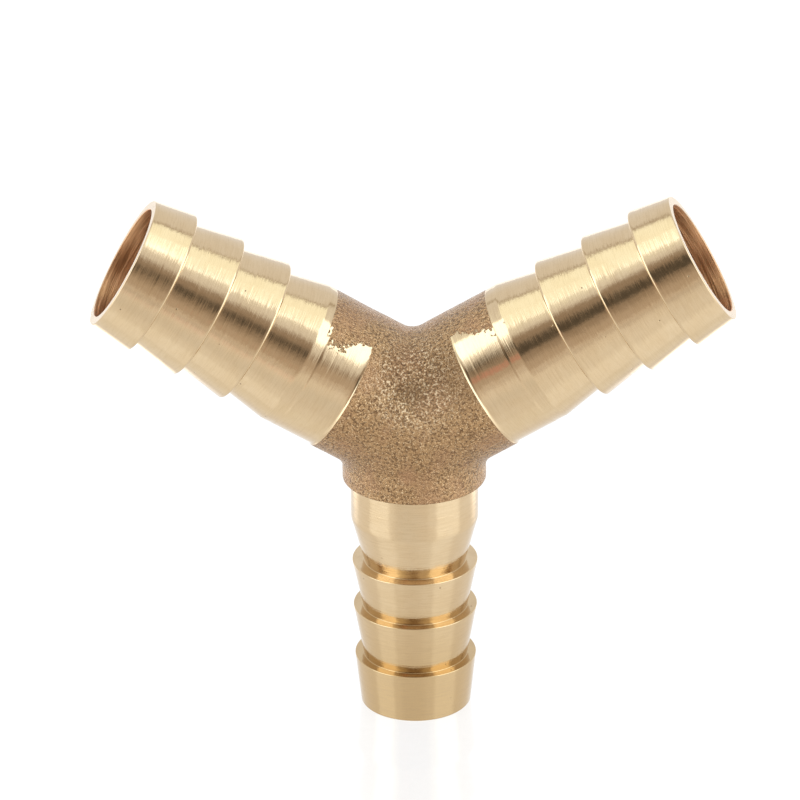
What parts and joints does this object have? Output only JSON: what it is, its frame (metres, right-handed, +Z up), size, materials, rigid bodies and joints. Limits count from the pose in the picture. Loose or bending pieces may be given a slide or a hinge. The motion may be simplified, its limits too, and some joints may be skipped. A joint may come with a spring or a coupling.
{
  "type": "hose barb y connector",
  "caption": "Reducing Y-shaped brass pipe connector: barbed tails 120 degrees apart on a rough forged hub, joining irrigation hoses pushed onto them.",
  "frame": {"origin": "centre of the lower tail's flat end face, on the lower leg's axis; the hub centre, where the three legs' axes meet, is 35.6 mm above it", "axes": "+Z up along the lower leg's axis towards the hub; the three legs lie in the XZ plane, the upper ones rising 30 degrees towards -X (left) and +X (right); -Y is the front"},
  "size_m": [0.0714, 0.017, 0.0606],
  "materials": {
    "forged_brass": "raw forged, sand-textured, dull brown gold",
    "turned_brass": "bright turned, fine lathe lines"
  },
  "bodies": {
    "root": {"forged_hub": "forged_brass", "left_hose_tail": "turned_brass", "right_hose_tail": "turned_brass", "lower_hose_tail": "turned_brass"}
  },
  "joints": []
}
